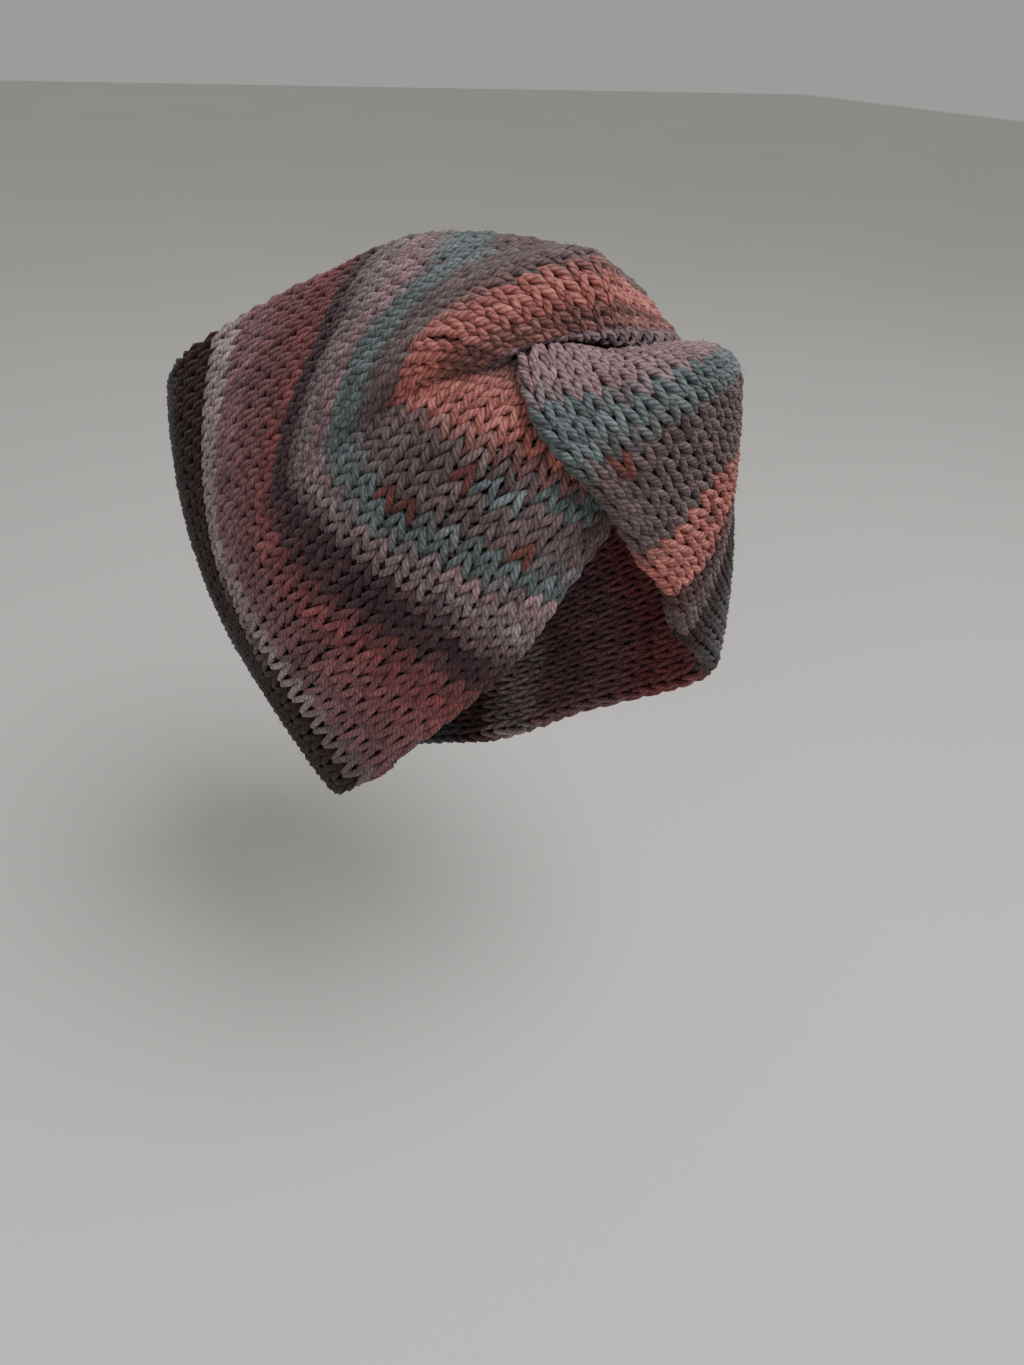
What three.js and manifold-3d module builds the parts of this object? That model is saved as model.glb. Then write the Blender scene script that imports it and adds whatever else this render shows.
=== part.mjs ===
// Wide knitted ear warmer with a crossed twist over the forehead.
//
// The band is a flattened knitted tube, so its wall is two layers of knitting thick. Its two ends are
// folded into hairpins that hook through each other in front, and are sewn down along one short seam.
// It is shown as worn: the origin is the middle of the head, +Z is up and the face looks along -Y.
//
// The wall is laid out in two steps. A carrier surface goes round the head, through the sections of
// the table below, with coordinates u (0 in front, -1 and +1 at the back, negative on the wearer's
// right) and v (-1 at the lower edge, +1 at the upper edge). Each end of the band then lies on that
// surface as a strip: a point of it is given by the way along a column of stitches, from 0 at the seam
// to 1 at the back, and by its place across the band, from -1 to +1.
import * as THREE from 'three';
import { mergeVertices } from 'three/addons/utils/BufferGeometryUtils.js';
import Module from 'manifold-3d';

// Sizes in millimetres, angles in degrees.
const BAND_WIDTH = 196;
const WALL = 9;
const HALF_LENGTH = 270; // from the middle of the twist round to the middle of the back
const SEAM_LENGTH = 62;
const SEAM_RISE = 18.5; // the seam lies this far above the middle of the band
const SEAM_TILT = -10;
const SEAM_DIP = 4; // the sewing pulls the front half of each end down by this much,
const DIP_REACH = 0.13; // over this share of the curved part of a column
const SEAM_GAP = 3.4; // the folded ends stop this far from the middle of the seam
const SEAM_BEAD = 11; // width of the sewing that fills the seam
const SEAM_TOP = 4; // the sewing reaches this high above the carrier
const FOLD_ROOM = 5.5; // each edge ends this far short of the fold that it passes through
const BACK_OVERLAP = 1.5;
const STRAIGHT_FROM = 0.48; // rows are straight across the band from this u to the back
const CREASE_U = 0.6;
const CREASE_SPREAD = 0.035;
const LAYER_STEP = 10; // rise of the front half of each end, over the half that passes behind it
const HALF_FROM = -0.04; // the front half begins at this t
const HALF_SPREAD = 0.18; // and is at its full height this much further on
const STEP_FROM = -110; // the rise starts here, in millimetres from the middle of the twist,
const STEP_TO = -34; // and is whole from here on
const LOBE_RISE = 10;
const LOBE_CREST = 0.09; // place of the crest, along the curved part of a column
const LOBE_FROM = -0.05; // the lobe begins at this t
const LOBE_SPREAD = 0.5; // and is at its full height this much further on
const LOBE_TAPER = 1.3; // the edge of the band has lost this many times the rise, so it turns under,
const TAPER_FROM = 0.4; // from this t on
const COLUMN_FAN = 90; // columns leave the seam at this angle to the band
const FAN_SPREAD = 0.52; // except within this distance of the middle column, which leaves along it
const COLUMN_START_PULL = 106; // length of a column's first handle, at the edge of the band
const MIDDLE_PULL = 0.35; // share of that length on the middle column
const PULL_SPREAD = 0.8;
const COLUMN_END_PULL = 0.33; // length of its last handle, as a share of the way to the straight rows

// Sections of the carrier surface on the wearer's right. bow is how far the middle of a section stands
// out from the line between its ends, and left is how much wider the section is on the wearer's left.
const SECTIONS = [
  { u: 0.0, bottom: [0, -86, 34], top: [0, -22, 119], bow: 38, left: 0 },
  { u: 0.22, bottom: [25, -91, 20], top: [25, 1, 115], bow: 37, left: -6 },
  { u: 0.42, bottom: [67, -53, -35], top: [42, 44, 103], bow: 29, left: 18 },
  { u: CREASE_U, bottom: [55, -11, -68], top: [76, 70, 78], bow: 19, left: 0 },
  { u: 0.8, bottom: [28, 16, -93], top: [68, 99, 58], bow: 20, left: 0 },
  { u: 1.0, bottom: [0, 43, -105], top: [0, 101, 70], bow: 10, left: 0 },
];

// Fineness of the facets.
const RINGS = 42;
const RING_EASE = 1.25; // above 1, rings lie closer together near the seam
const COLUMNS = 22;
const COLUMN_EASE = 1.5; // above 1, columns lie closer together near the fold
const RIM_ANGLES = [45];
const BAR_RINGS = 8;

const HALF_WIDTH = BAND_WIDTH / 2;
const HALF_WALL = WALL / 2;

function smoothstep(value) {
  const x = THREE.MathUtils.clamp(value, 0, 1);
  return x * x * (3 - 2 * x);
}

// One row of numbers for a section at u, on either side: bottom x, y, z, top x, y, z, bow.
function sectionRow(section, side) {
  const widen = side > 0 ? section.left : 0;
  const [bx, by, bz] = section.bottom;
  const [tx, ty, tz] = section.top;
  return [side * (bx + widen), by, bz, side * (tx + widen / 2), ty, tz, section.bow];
}

// A smooth curve through rows of numbers at uneven places, with a slope at each row taken from its
// neighbours.
function makeCurve(knots) {
  const places = knots.map((knot) => knot.u);
  const rows = knots.map((knot) => knot.row);
  const last = knots.length - 1;
  const steps = places.slice(1).map((place, i) => place - places[i]);
  const chords = steps.map((step, i) => rows[i].map((value, k) => (rows[i + 1][k] - value) / step));
  const slopes = rows.map((row, i) => row.map((_, k) => {
    if (i === 0 || i === last) return 0;
    return (chords[i - 1][k] * steps[i] + chords[i][k] * steps[i - 1]) / (steps[i] + steps[i - 1]);
  }));
  slopes[0] = chords[0].map((chord, k) => 1.5 * chord - 0.5 * slopes[1][k]);
  slopes[last] = chords[last - 1].map((chord, k) => 1.5 * chord - 0.5 * slopes[last - 1][k]);
  return (u) => {
    const x = THREE.MathUtils.clamp(u, places[0], places[last]);
    let i = 0;
    while (i < last - 1 && x >= places[i + 1]) i += 1;
    const s = (x - places[i]) / steps[i];
    const s2 = s * s;
    const s3 = s2 * s;
    return rows[i].map((value, k) => (2 * s3 - 3 * s2 + 1) * value
      + (s3 - 2 * s2 + s) * steps[i] * slopes[i][k]
      + (3 * s2 - 2 * s3) * rows[i + 1][k]
      + (s3 - s2) * steps[i] * slopes[i + 1][k]);
  };
}

// The carrier turns a corner at the crease on each side, so the front and the back are two curves.
const inFront = SECTIONS.filter((section) => section.u <= CREASE_U);
const behind = SECTIONS.filter((section) => section.u >= CREASE_U);
const frontCurve = makeCurve([
  ...inFront.slice(1).reverse().map((section) => ({ u: -section.u, row: sectionRow(section, -1) })),
  ...inFront.map((section) => ({ u: section.u, row: sectionRow(section, 1) })),
]);
const backCurve = makeCurve([
  ...behind.map((section) => ({ u: section.u, row: sectionRow(section, 1) })),
  ...behind.slice(0, -1).reverse().map((section) => ({ u: 2 - section.u, row: sectionRow(section, -1) })),
]);

function sharpSection(u) {
  return Math.abs(u) <= CREASE_U ? frontCurve(u) : backCurve(((u % 2) + 2) % 2);
}

// The corner is rounded by averaging the sections just round it.
const CREASE_AVERAGE = [
  { shift: -1, weight: 1 / 8 },
  { shift: -0.5, weight: 2 / 8 },
  { shift: 0, weight: 2 / 8 },
  { shift: 0.5, weight: 2 / 8 },
  { shift: 1, weight: 1 / 8 },
];

function sectionAt(u) {
  const row = [0, 0, 0, 0, 0, 0, 0];
  for (const { shift, weight } of CREASE_AVERAGE) {
    sharpSection(u + shift * CREASE_SPREAD).forEach((value, k) => {
      row[k] += weight * value;
    });
  }
  return {
    bottom: new THREE.Vector3(row[0], row[1], row[2]),
    top: new THREE.Vector3(row[3], row[4], row[5]),
    bow: row[6],
  };
}

const SECTION_STEP = 0.02;

function carrierPoint(u, v) {
  const here = sectionAt(u);
  const before = sectionAt(u - SECTION_STEP);
  const after = sectionAt(u + SECTION_STEP);
  const along = after.bottom.clone().add(after.top).sub(before.bottom).sub(before.top);
  const across = here.top.clone().sub(here.bottom);
  const outward = along.cross(across).normalize();
  return here.bottom.clone()
    .addScaledVector(across, (v + 1) / 2)
    .addScaledVector(outward, here.bow * (1 - v * v));
}

const NORMAL_STEP = 0.004;

function carrierNormal(u, v) {
  const along = carrierPoint(u + NORMAL_STEP, v).sub(carrierPoint(u - NORMAL_STEP, v));
  const across = carrierPoint(u, v + NORMAL_STEP).sub(carrierPoint(u, v - NORMAL_STEP));
  return along.cross(across).normalize();
}

// Where a column at t lies on the flattened band, in millimetres from the middle of the twist: a cubic
// curve that leaves the seam square to it and comes level with the band. q is 0 at the seam.
function layColumn(q, t, seamRise) {
  const place = Math.abs(t);
  const tilt = THREE.MathUtils.degToRad(SEAM_TILT);
  const turn = THREE.MathUtils.degToRad(COLUMN_FAN) * smoothstep(place / FAN_SPREAD);
  const heading = Math.PI + tilt - Math.sign(t) * turn;
  const pull = COLUMN_START_PULL * (MIDDLE_PULL + (1 - MIDDLE_PULL) * smoothstep(place / PULL_SPREAD));
  const onSeam = (SEAM_LENGTH - FOLD_ROOM) * place - SEAM_LENGTH / 2;
  const end = -STRAIGHT_FROM * HALF_LENGTH;
  const leave = new THREE.Vector2(Math.cos(heading), Math.sin(heading));
  const start = new THREE.Vector2(onSeam * Math.cos(tilt), seamRise + onSeam * Math.sin(tilt))
    .addScaledVector(leave, SEAM_GAP);
  const curve = new THREE.CubicBezierCurve(
    start,
    start.clone().addScaledVector(leave, pull),
    new THREE.Vector2(end * (1 - COLUMN_END_PULL), t * HALF_WIDTH),
    new THREE.Vector2(end, t * HALF_WIDTH),
  );
  return curve.getPoint(q);
}

// Height of the strip above the carrier, where x is its place along the flattened band. The half with
// t above 0 lies in front and swells into a lobe.
function columnLift(q, t, x) {
  const frontHalf = smoothstep((t - HALF_FROM) / HALF_SPREAD);
  const step = LAYER_STEP * smoothstep((x - STEP_FROM) / (STEP_TO - STEP_FROM));
  const dip = SEAM_DIP * (1 - smoothstep(q / DIP_REACH));
  const swell = (q / LOBE_CREST) ** 2 * Math.exp(2 - (2 * q) / LOBE_CREST);
  const taper = 1 - LOBE_TAPER * smoothstep((t - TAPER_FROM) / (1 - TAPER_FROM));
  const lobe = LOBE_RISE * swell * smoothstep((t - LOBE_FROM) / LOBE_SPREAD) * taper;
  return frontHalf * (step - dip + lobe);
}

const STRAIGHT_TAU = (STRAIGHT_FROM * HALF_LENGTH - SEAM_LENGTH / 2) / (HALF_LENGTH - SEAM_LENGTH / 2);

// A point in the middle of the wall. side is -1 for the end that comes from the wearer's right and +1
// for the other, which is the same strip turned half round about the middle of the seam.
function stripPoint(tau, t, side) {
  const q = Math.min(tau / STRAIGHT_TAU, 1);
  const flat = layColumn(q, t, -side * SEAM_RISE);
  const past = Math.max((tau - STRAIGHT_TAU) / (1 - STRAIGHT_TAU), 0);
  flat.x -= past * (1 - STRAIGHT_FROM) * HALF_LENGTH;
  const lift = columnLift(q, t, flat.x);
  flat.multiplyScalar(-side);
  const u = flat.x / HALF_LENGTH;
  const v = flat.y / HALF_WIDTH;
  return carrierPoint(u, v).addScaledVector(carrierNormal(u, v), lift);
}

const STRIP_STEP = 0.004;

function stripFrame(tau, t, side) {
  const along = stripPoint(tau + STRIP_STEP, t, side).sub(stripPoint(tau - STRIP_STEP, t, side));
  const across = stripPoint(tau, t + STRIP_STEP, side).sub(stripPoint(tau, t - STRIP_STEP, side));
  return {
    centre: stripPoint(tau, t, side),
    across: across.clone().normalize(),
    outward: across.cross(along).normalize(),
  };
}

// One ring of the wall: pairs of points on the outer and the inner face from the edge at t = -1 to the
// edge at t = 1, with a single point at each rounded rim.
function wallRing(tau, side) {
  const rim = HALF_WALL / HALF_WIDTH;
  const pairs = [];
  const facePair = (frame, degrees, way) => {
    const angle = THREE.MathUtils.degToRad(degrees);
    const middle = frame.centre.clone().addScaledVector(frame.across, way * HALF_WALL * Math.sin(angle));
    const reach = HALF_WALL * Math.cos(angle);
    return [
      middle.clone().addScaledVector(frame.outward, reach),
      middle.clone().addScaledVector(frame.outward, -reach),
    ];
  };
  const low = stripFrame(tau, -1 + rim, side);
  const high = stripFrame(tau, 1 - rim, side);
  for (const degrees of [...RIM_ANGLES].reverse()) pairs.push(facePair(low, degrees, -1));
  for (let i = 0; i <= COLUMNS; i += 1) {
    const even = -1 + (2 * i) / COLUMNS;
    const t = (1 - rim) * Math.sign(even) * Math.abs(even) ** COLUMN_EASE;
    pairs.push(facePair(stripFrame(tau, t, side), 0, 1));
  }
  for (const degrees of RIM_ANGLES) pairs.push(facePair(high, degrees, 1));
  const firstTip = low.centre.clone().addScaledVector(low.across, -HALF_WALL);
  const lastTip = high.centre.clone().addScaledVector(high.across, HALF_WALL);
  return [
    firstTip,
    ...pairs.map((pair) => pair[0]),
    lastTip,
    ...pairs.map((pair) => pair[1]).reverse(),
  ];
}

// The closed wall of one end of the band, from past the seam to past the middle of the back.
function wallSolid(side) {
  const backTau = 1 + BACK_OVERLAP / HALF_LENGTH;
  const positions = [];
  const indices = [];
  let size = 0;
  for (let ring = 0; ring <= RINGS; ring += 1) {
    const points = wallRing(backTau * (ring / RINGS) ** RING_EASE, side);
    size = points.length;
    points.forEach((point) => positions.push(point.x, point.y, point.z));
  }
  for (let ring = 0; ring < RINGS; ring += 1) {
    for (let i = 0; i < size; i += 1) {
      const a = ring * size + i;
      const b = ring * size + ((i + 1) % size);
      indices.push(a, b, b + size, a, b + size, a + size);
    }
  }
  // The two ends are closed by rungs between the outer and the inner face.
  const half = size / 2;
  const addCap = (start, turned) => {
    const face = (a, b, c) => indices.push(start + a, start + (turned ? c : b), start + (turned ? b : c));
    face(0, size - 1, 1);
    for (let i = 1; i < half - 1; i += 1) {
      face(i, size - i, i + 1);
      face(i + 1, size - i, size - i - 1);
    }
    face(half - 1, half + 1, half);
  };
  addCap(0, false);
  addCap(RINGS * size, true);
  return { positions, indices };
}

// The sewing along the seam: a bar through both layers, laid on the carrier like the strips.
function seamSolid() {
  const tilt = THREE.MathUtils.degToRad(SEAM_TILT);
  const along = new THREE.Vector2(Math.cos(tilt), Math.sin(tilt));
  const across = new THREE.Vector2(-Math.sin(tilt), Math.cos(tilt));
  const middle = new THREE.Vector2(0, SEAM_RISE);
  const halfBar = SEAM_LENGTH / 2 - FOLD_ROOM;
  const corners = [[-1, 1 - HALF_WALL], [-1, SEAM_TOP], [1, SEAM_TOP], [1, 1 - HALF_WALL]];
  const positions = [];
  const indices = [];
  for (let i = 0; i <= BAR_RINGS; i += 1) {
    const place = halfBar * (-1 + (2 * i) / BAR_RINGS);
    for (const [way, lift] of corners) {
      const flat = middle.clone()
        .addScaledVector(along, place)
        .addScaledVector(across, (way * SEAM_BEAD) / 2);
      const u = flat.x / HALF_LENGTH;
      const v = flat.y / HALF_WIDTH;
      const point = carrierPoint(u, v).addScaledVector(carrierNormal(u, v), lift);
      positions.push(point.x, point.y, point.z);
    }
  }
  for (let i = 0; i < BAR_RINGS; i += 1) {
    for (let k = 0; k < 4; k += 1) {
      const a = i * 4 + k;
      const b = i * 4 + ((k + 1) % 4);
      indices.push(a, b + 4, b, a, a + 4, b + 4);
    }
  }
  const end = BAR_RINGS * 4;
  indices.push(0, 1, 2, 0, 2, 3, end, end + 2, end + 1, end, end + 3, end + 2);
  return { positions, indices };
}

const wasm = await Module();
wasm.setup();

function toManifold(positions, indices) {
  return new wasm.Manifold(new wasm.Mesh({
    numProp: 3,
    vertProperties: new Float32Array(positions),
    triVerts: new Uint32Array(indices),
  }));
}

function toGeometry(solid) {
  const mesh = solid.getMesh();
  const geometry = new THREE.BufferGeometry();
  geometry.setAttribute('position', new THREE.BufferAttribute(new Float32Array(mesh.vertProperties), 3));
  geometry.setIndex(new THREE.BufferAttribute(new Uint32Array(mesh.triVerts), 1));
  return geometry;
}

const WELD_DISTANCE = 1e-3;

// Slivers and pockets closed in where layers press together come out as bodies of their own once near
// vertices are welded, so the largest body is the band without them.
function largestBody(solid) {
  const welded = mergeVertices(toGeometry(solid), WELD_DISTANCE);
  const bodies = toManifold(welded.attributes.position.array, welded.index.array).decompose();
  return bodies.sort((a, b) => b.volume() - a.volume())[0];
}

// The two ends are one piece of knitting, joined at the back and sewn together along the seam.
function makeBand() {
  const rightEnd = wallSolid(-1);
  const leftEnd = wallSolid(1);
  const seam = seamSolid();
  const joined = toManifold(rightEnd.positions, rightEnd.indices)
    .add(toManifold(leftEnd.positions, leftEnd.indices))
    .add(toManifold(seam.positions, seam.indices));
  const geometry = toGeometry(largestBody(largestBody(joined)));
  geometry.computeVertexNormals();
  const wool = new THREE.MeshStandardMaterial({ color: 0x94707a, roughness: 0.95, metalness: 0 });
  const mesh = new THREE.Mesh(geometry, wool);
  mesh.name = 'band';
  return mesh;
}

const earWarmer = new THREE.Group();
earWarmer.add(makeBand());

export default earWarmer;
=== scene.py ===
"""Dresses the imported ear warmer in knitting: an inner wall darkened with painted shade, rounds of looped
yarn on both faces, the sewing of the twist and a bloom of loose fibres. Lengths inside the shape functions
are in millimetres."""
import math

import bpy
import numpy as np
from bpy.props import FloatProperty, FloatVectorProperty, IntProperty, PointerProperty
from mathutils import Matrix, Vector


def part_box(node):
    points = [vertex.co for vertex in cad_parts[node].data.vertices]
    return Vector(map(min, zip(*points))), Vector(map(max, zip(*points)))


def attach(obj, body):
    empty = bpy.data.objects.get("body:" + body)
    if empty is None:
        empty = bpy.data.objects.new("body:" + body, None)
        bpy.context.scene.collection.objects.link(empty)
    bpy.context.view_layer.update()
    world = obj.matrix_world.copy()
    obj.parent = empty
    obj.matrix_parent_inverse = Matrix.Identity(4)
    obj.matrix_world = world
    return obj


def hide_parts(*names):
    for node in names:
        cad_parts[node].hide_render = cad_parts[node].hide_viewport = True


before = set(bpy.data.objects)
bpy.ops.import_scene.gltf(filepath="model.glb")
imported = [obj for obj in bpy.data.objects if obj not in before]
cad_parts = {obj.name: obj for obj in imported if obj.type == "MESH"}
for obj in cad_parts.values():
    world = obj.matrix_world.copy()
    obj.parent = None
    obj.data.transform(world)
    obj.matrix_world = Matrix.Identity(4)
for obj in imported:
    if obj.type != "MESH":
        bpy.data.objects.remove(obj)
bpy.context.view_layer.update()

bl_info = {
    "name": "Knitted ear warmer",
    "version": (1, 0, 0),
    "blender": (4, 5, 0),
    "location": "View3D > Sidebar > Ear warmer",
    "description": "Knits a wide ear warmer with a crossed twist around its packed solid",
    "category": "Mesh",
}

BAND_LOW = np.array(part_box("band")[0], float)
MM = 0.001

# ---------------------------------------------------------------------------------------------------
# Shape of the band, the same as the solid's. Lengths are in millimetres and angles in degrees, and the
# rest are shares: of the half length, of the width, or of a curved part.

HALF_LENGTH = 270.0
SEAM_LENGTH = 62.0
SEAM_RISE = 18.5
SEAM_TILT = -10.0
SEAM_DIP = 4.0
DIP_REACH = 0.13
SEAM_GAP = 3.4
SEAM_BEAD = 11.0
SEAM_TOP = 4.0
FOLD_ROOM = 5.5
STRAIGHT_FROM = 0.48
CREASE_U = 0.6
CREASE_SPREAD = 0.035
LAYER_STEP = 10.0
HALF_FROM = -0.04
HALF_SPREAD = 0.18
STEP_FROM = -110.0
STEP_TO = -34.0
LOBE_RISE = 10.0
LOBE_CREST = 0.09
LOBE_FROM = -0.05
LOBE_SPREAD = 0.5
LOBE_TAPER = 1.3
TAPER_FROM = 0.4
COLUMN_FAN = 90.0
FAN_SPREAD = 0.52
COLUMN_START_PULL = 106.0
MIDDLE_PULL = 0.35
PULL_SPREAD = 0.8
COLUMN_END_PULL = 0.33

# Sections of the surface that carries the band. Each row has its place round the head, the three
# coordinates of its lower end, those of its upper end, its bow and what widens the wearer's left side.
SECTIONS = np.array(
    [
        [0.00, 0, -86, 34, 0, -22, 119, 38, 0],
        [0.22, 25, -91, 20, 25, 1, 115, 37, -6],
        [0.42, 67, -53, -35, 42, 44, 103, 29, 18],
        [CREASE_U, 55, -11, -68, 76, 70, 78, 19, 0],
        [0.80, 28, 16, -93, 68, 99, 58, 20, 0],
        [1.00, 0, 43, -105, 0, 101, 70, 10, 0],
    ]
)

RIGHT, LEFT = -1, 1

FLOOR_REACH = 6.0  # metres from its middle to its sides
CAMERA_PLACE = (-0.1700, -0.3119, 0.1889)
CAMERA_AIM = (0.0080, -0.0287, -0.0305)
CAMERA_ROLL = 3.3
CAMERA_LENS = 27.03


def smooth(value):
    """0 below 0 and 1 above 1, joined by 3 x squared less 2 x cubed."""
    x = np.clip(value, 0.0, 1.0)
    return x * x * (3 - 2 * x)


def knot_slopes(places, rows):
    """Slope at each knot: the mean of the slopes on its two sides, each weighted by its own span, and at
    an end one and a half times the end span's slope less half its neighbour's."""
    span = np.diff(places)[:, None]
    rise = np.diff(rows, axis=0) / span
    slopes = np.empty_like(rows)
    slopes[1:-1] = (rise[:-1] * span[1:] + rise[1:] * span[:-1]) / (span[1:] + span[:-1])
    slopes[0] = 1.5 * rise[0] - 0.5 * slopes[1]
    slopes[-1] = 1.5 * rise[-1] - 0.5 * slopes[-2]
    return slopes


def along_knots(knots, place):
    """Cubic Hermite curve through the knots' rows."""
    places, rows, slopes = knots
    i = np.clip(np.searchsorted(places, place, side="right") - 1, 0, len(places) - 2)
    span = places[i + 1] - places[i]
    s = ((place - places[i]) / span)[..., None]
    span = span[..., None]
    return (
        (2 * s**3 - 3 * s**2 + 1) * rows[i]
        + (s**3 - 2 * s**2 + s) * span * slopes[i]
        + (3 * s**2 - 2 * s**3) * rows[i + 1]
        + (s**3 - s**2) * span * slopes[i + 1]
    )


def section_knots(sections, back):
    """Knots from the section table for both sides, in order of u, with u past 1 on the way round the
    back; the table's last number widens the wearer's left side."""
    wearer_left = sections[:, [1, 2, 3, 4, 5, 6, 7]].copy()
    wearer_left[:, 0] += sections[:, 8]
    wearer_left[:, 3] += sections[:, 8] / 2
    wearer_right = sections[:, [1, 2, 3, 4, 5, 6, 7]] * np.array([-1, 1, 1, -1, 1, 1, 1])
    u = sections[:, 0]
    if back:
        places = np.concatenate([u, 2 - u[-2::-1]])
        rows = np.concatenate([wearer_left, wearer_right[-2::-1]])
    else:
        places = np.concatenate([-u[:0:-1], u])
        rows = np.concatenate([wearer_right[:0:-1], wearer_left])
    return places, rows, knot_slopes(places, rows)


CREASE_ROW = int(np.argmin(np.abs(SECTIONS[:, 0] - CREASE_U)))
FRONT_KNOTS = section_knots(SECTIONS[: CREASE_ROW + 1], back=False)
BACK_KNOTS = section_knots(SECTIONS[CREASE_ROW:], back=True)


def sharp_section(u):
    """The front curve up to the creases and the back curve beyond them."""
    front = along_knots(FRONT_KNOTS, np.clip(u, -CREASE_U, CREASE_U))
    back = along_knots(BACK_KNOTS, np.clip(u % 2, CREASE_U, 2 - CREASE_U))
    return np.where((np.abs(u) <= CREASE_U)[..., None], front, back)


SECTION_U = np.linspace(-1.4, 1.4, 2801)
SECTION_ROWS = sum(
    weight * sharp_section(SECTION_U + shift * CREASE_SPREAD)
    for shift, weight in ((-1, 1 / 8), (-0.5, 2 / 8), (0, 2 / 8), (0.5, 2 / 8), (1, 1 / 8))
)


def section_at(u):
    """Rows of the rounded section curve, read from the table above by linear steps."""
    place = (u - SECTION_U[0]) / (SECTION_U[1] - SECTION_U[0])
    i = np.clip(place.astype(int), 0, len(SECTION_U) - 2)
    part = (place - i)[..., None]
    return SECTION_ROWS[i] * (1 - part) + SECTION_ROWS[i + 1] * part


def unit(vector):
    """A vector made one long."""
    return vector / (np.linalg.norm(vector, axis=-1, keepdims=True) + 1e-12)


def carrier_point(u, v):
    """Point of the carrying surface: the line from a section's bottom to its top, bowed outwards by bow
    times 1 less v squared, square to that line and to the way round."""
    row = section_at(u)
    ahead = section_at(u + 0.02)
    behind = section_at(u - 0.02)
    way = ahead[..., :3] + ahead[..., 3:6] - behind[..., :3] - behind[..., 3:6]
    chord = row[..., 3:6] - row[..., :3]
    out = unit(np.cross(way, chord))
    return row[..., :3] + chord * ((v + 1) / 2)[..., None] + out * row[..., 6:7] * (1 - v * v)[..., None]


def carrier_normal(u, v):
    """Cross product of the surface's two slopes, taken by small steps."""
    step = 0.004
    round_it = carrier_point(u + step, v) - carrier_point(u - step, v)
    up_it = carrier_point(u, v + step) - carrier_point(u, v - step)
    return unit(np.cross(round_it, up_it))


STRAIGHT_TAU = (STRAIGHT_FROM * HALF_LENGTH - SEAM_LENGTH / 2) / (HALF_LENGTH - SEAM_LENGTH / 2)


def flat_column(q, t, rise, half_width):
    """Flattened place of a point along a column: a cubic Bezier curve that leaves the seam at its fan
    angle and comes in along the band at the first straight row."""
    off = np.abs(t)
    tilt = math.radians(SEAM_TILT)
    heading = math.pi + tilt - np.sign(t) * math.radians(COLUMN_FAN) * smooth(off / FAN_SPREAD)
    leave = np.stack([np.cos(heading), np.sin(heading)], -1)
    pull = COLUMN_START_PULL * (MIDDLE_PULL + (1 - MIDDLE_PULL) * smooth(off / PULL_SPREAD))
    on_seam = (SEAM_LENGTH - FOLD_ROOM) * off - SEAM_LENGTH / 2
    end = -STRAIGHT_FROM * HALF_LENGTH
    p0 = np.stack([on_seam * math.cos(tilt), rise + on_seam * math.sin(tilt)], -1) + leave * SEAM_GAP
    p1 = p0 + leave * pull[..., None]
    p2 = np.stack([end * (1 - COLUMN_END_PULL) + 0 * off, t * half_width], -1)
    p3 = np.stack([end + 0 * off, t * half_width], -1)
    q = q[..., None]
    return (1 - q) ** 3 * p0 + 3 * (1 - q) ** 2 * q * p1 + 3 * (1 - q) * q * q * p2 + q**3 * p3


def column_lift(q, t, x):
    """Rise of a strip over the carrying surface: its front half steps over the half behind it, dips to
    the seam and swells just past it."""
    front_half = smooth((t - HALF_FROM) / HALF_SPREAD)
    step = LAYER_STEP * smooth((x - STEP_FROM) / (STEP_TO - STEP_FROM))
    dip = SEAM_DIP * (1 - smooth(q / DIP_REACH))
    swell = LOBE_RISE * (q / LOBE_CREST) ** 2 * np.exp(2 - 2 * q / LOBE_CREST)
    taper = 1 - LOBE_TAPER * smooth((t - TAPER_FROM) / (1 - TAPER_FROM))
    return front_half * (step - dip + swell * smooth((t - LOBE_FROM) / LOBE_SPREAD) * taper)


def strip_point(tau, t, side, half_width):
    """Point of a strip on the middle of its wall: the flattened column laid on the carrying surface and
    lifted along its normal."""
    tau, t = np.broadcast_arrays(np.asarray(tau, float), np.asarray(t, float))
    q = np.minimum(tau / STRAIGHT_TAU, 1)
    flat = flat_column(q, t, -side * SEAM_RISE, half_width)
    past = np.maximum((tau - STRAIGHT_TAU) / (1 - STRAIGHT_TAU), 0)
    x = flat[..., 0] - past * (1 - STRAIGHT_FROM) * HALF_LENGTH
    lift = column_lift(q, t, x)
    u = -side * x / HALF_LENGTH
    v = -side * flat[..., 1] / half_width
    return carrier_point(u, v) + carrier_normal(u, v) * lift[..., None]


def strip_frame(tau, t, side, half_width):
    """Point, direction across the band and outward normal of a strip, by small steps."""
    step = 0.004
    along = strip_point(tau + step, t, side, half_width) - strip_point(tau - step, t, side, half_width)
    across = strip_point(tau, t + step, side, half_width) - strip_point(tau, t - step, side, half_width)
    return strip_point(tau, t, side, half_width), unit(across), unit(np.cross(across, along))


# ---------------------------------------------------------------------------------------------------
# The knitting.

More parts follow.
